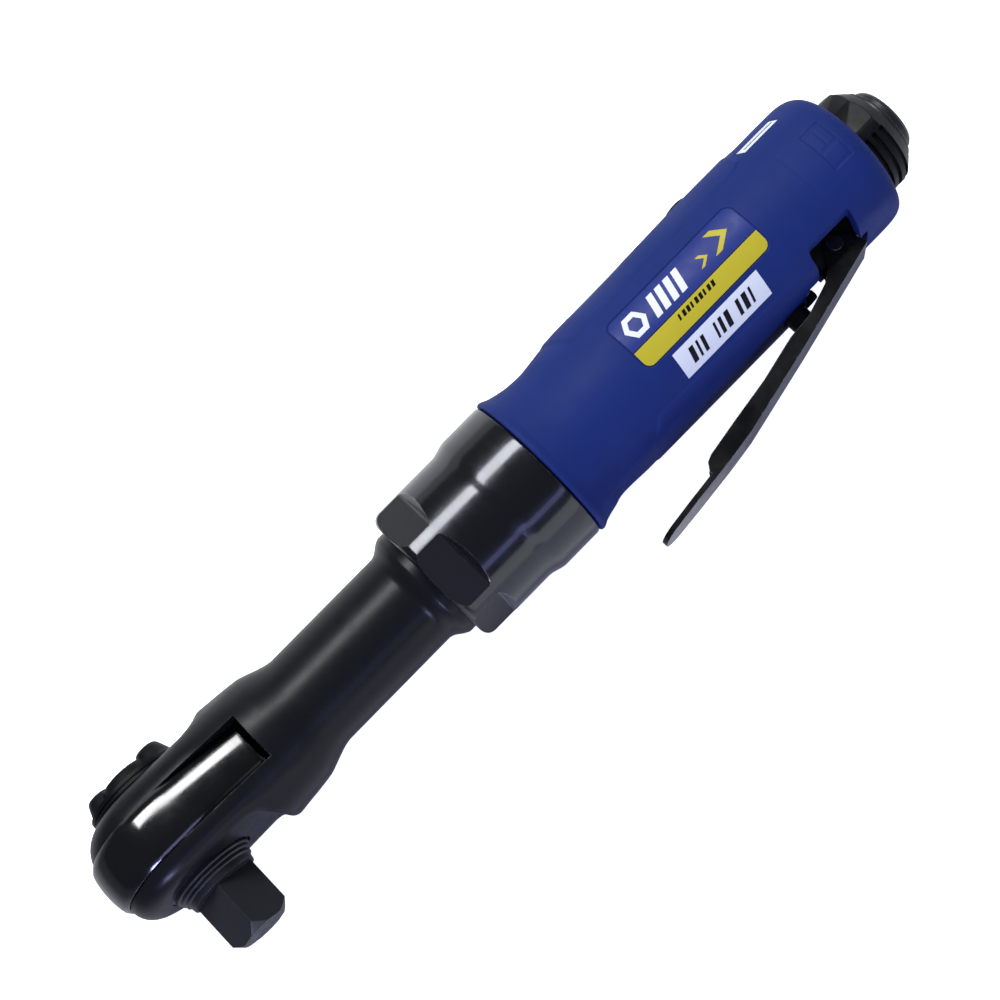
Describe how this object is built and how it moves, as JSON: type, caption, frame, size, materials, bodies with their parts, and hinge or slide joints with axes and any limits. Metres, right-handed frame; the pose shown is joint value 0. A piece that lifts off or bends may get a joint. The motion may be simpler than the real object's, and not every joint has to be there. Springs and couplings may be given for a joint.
{
  "type": "air ratchet",
  "caption": "Inline air ratchet: forked square-drive head with reversing knob, hex clamp nut, blue composite grip, paddle throttle and swivelling exhaust deflector.",
  "frame": {"origin": "where the drive axis crosses the long axis of the tool", "axes": "+X along the tool to the air inlet, +Y to the reversing knob, so the square drive and the lever are on the -Y side, +Z out of the label side"},
  "size_m": [0.2808, 0.0607, 0.0458],
  "materials": {
    "forged_black": "black oxide forged steel, satin gloss",
    "nut_steel": "black polished steel with fine turning marks",
    "lever_black": "glossy black painted sheet steel",
    "bright_steel": "ground steel",
    "dark_steel": "black oxide ground steel",
    "aluminium": "machined aluminium",
    "housing_metal": "black anodised casting",
    "bronze": "bronze",
    "blue_grip": "blue composite with a fine matt grain",
    "black_plastic": "black moulded plastic",
    "rubber": "black rubber",
    "gasket_paper": "pressed gasket paper",
    "vane_laminate": "cloth laminate",
    "felt": "grey felt",
    "label_blue": "glossy blue vinyl",
    "label_yellow": "glossy yellow vinyl",
    "sticker_white": "glossy white vinyl"
  },
  "bodies": {
    "tool_body": {"ratchet_housing": "forged_black", "anvil_washer": "bright_steel", "needle_bearing_front": "bright_steel", "needle_bearing_rear": "bright_steel", "ring_gear": "bright_steel", "clamp_nut": "nut_steel", "bearing_holder": "aluminium", "carrier_bearing": "bright_steel", "front_end_plate": "aluminium", "front_bearing": "bright_steel", "motor_cylinder": "bright_steel", "cylinder_pin": "bright_steel", "rear_end_plate": "aluminium", "rear_bearing": "bright_steel", "motor_gasket": "gasket_paper", "motor_housing": "housing_metal", "grip_cover": "blue_grip", "lever_pin": "dark_steel", "valve_bushing": "bronze", "valve_spring": "bright_steel", "inlet_bushing": "nut_steel", "inlet_screen": "bright_steel", "deflector_oring": "rubber", "exhaust_muffler": "felt", "badge_label": "label_blue", "badge_band": "label_yellow", "rating_sticker": "sticker_white", "side_sticker": "sticker_white"},
    "yoke": {"ratchet_yoke": "forged_black"},
    "anvil": {"drive_anvil": "dark_steel", "pawl_pin": "bright_steel", "anvil_retaining_ring": "bright_steel", "socket_ball": "bright_steel", "socket_ball_spring": "bright_steel"},
    "knob": {"reverse_knob": "black_plastic", "pawl_plunger": "bright_steel", "pawl_plunger_spring": "bright_steel"},
    "pawl": {"ratchet_pawl": "bright_steel"},
    "crank": {"crankshaft": "bright_steel", "planet_pins": "bright_steel"},
    "bush": {"drive_bush": "bronze"},
    "planet_1": {"planet_gear_1": "bright_steel"},
    "planet_2": {"planet_gear_2": "bright_steel"},
    "planet_3": {"planet_gear_3": "bright_steel"},
    "rotor": {"rotor": "bright_steel", "rotor_vanes": "vane_laminate"},
    "lever": {"throttle_lever": "lever_black"},
    "plunger": {"valve_plunger": "dark_steel", "plunger_oring": "rubber", "throttle_valve": "bronze"},
    "regulator": {"air_regulator": "black_plastic"},
    "deflector": {"exhaust_deflector": "black_plastic"}
  },
  "joints": [
    {"name": "yoke_swing", "type": "hinge", "parent": "tool_body", "child": "yoke", "pos_m": [0, 0, 0], "axis": [0, -1, 0], "range_deg": [-5.5, 5.5]},
    {"name": "anvil_spin", "type": "hinge", "parent": "tool_body", "child": "anvil", "pos_m": [0, 0, 0], "axis": [0, -1, 0], "continuous": true},
    {"name": "reverse_turn", "type": "hinge", "parent": "anvil", "child": "knob", "pos_m": [0, 0, 0], "axis": [0, 1, 0], "range_deg": [-20, 20]},
    {"name": "pawl_rock", "type": "hinge", "parent": "anvil", "child": "pawl", "pos_m": [-0.0086, 0, 0], "axis": [0, 1, 0], "range_deg": [-6.2, 6.2]},
    {"name": "rotor_spin", "type": "hinge", "parent": "tool_body", "child": "rotor", "pos_m": [0.15, 0, 0], "axis": [1, 0, 0], "continuous": true},
    {"name": "crank_spin", "type": "hinge", "parent": "tool_body", "child": "crank", "pos_m": [0.06, 0, 0], "axis": [1, 0, 0], "continuous": true},
    {"name": "bush_spin", "type": "hinge", "parent": "crank", "child": "bush", "pos_m": [0.027, 0.0026, 0], "axis": [1, 0, 0], "continuous": true},
    {"name": "planet_spin_1", "type": "hinge", "parent": "crank", "child": "planet_1", "pos_m": [0.107, 0, 0.009], "axis": [1, 0, 0], "continuous": true},
    {"name": "planet_spin_2", "type": "hinge", "parent": "crank", "child": "planet_2", "pos_m": [0.107, -0.00779, -0.0045], "axis": [1, 0, 0], "continuous": true},
    {"name": "planet_spin_3", "type": "hinge", "parent": "crank", "child": "planet_3", "pos_m": [0.107, 0.00779, -0.0045], "axis": [1, 0, 0], "continuous": true},
    {"name": "lever_squeeze", "type": "hinge", "parent": "tool_body", "child": "lever", "pos_m": [0.2225, -0.0152, 0], "axis": [0, 0, -1], "range_deg": [0, 8.5]},
    {"name": "plunger_push", "type": "slide", "parent": "tool_body", "child": "plunger", "axis": [0, 1, 0], "range_m": [0, 0.00295], "deforming": ["valve_spring"]},
    {"name": "regulator_turn", "type": "hinge", "parent": "tool_body", "child": "regulator", "pos_m": [0.2035, 0.02, 0], "axis": [0, 1, 0], "range_deg": [0, 90]},
    {"name": "deflector_turn", "type": "hinge", "parent": "tool_body", "child": "deflector", "pos_m": [0.2475, 0, 0], "axis": [1, 0, 0], "continuous": true}
  ],
  "couplings": [
    {"joint": "pawl_rock", "follows": "reverse_turn", "ratio": -0.3},
    {"joint": "crank_spin", "follows": "rotor_spin", "ratio": 0.2},
    {"joint": "planet_spin_1", "follows": "rotor_spin", "ratio": -0.53333},
    {"joint": "planet_spin_2", "follows": "rotor_spin", "ratio": -0.53333},
    {"joint": "planet_spin_3", "follows": "rotor_spin", "ratio": -0.53333},
    {"joint": "plunger_push", "follows": "lever_squeeze", "m_per_rad": 0.0196}
  ]
}
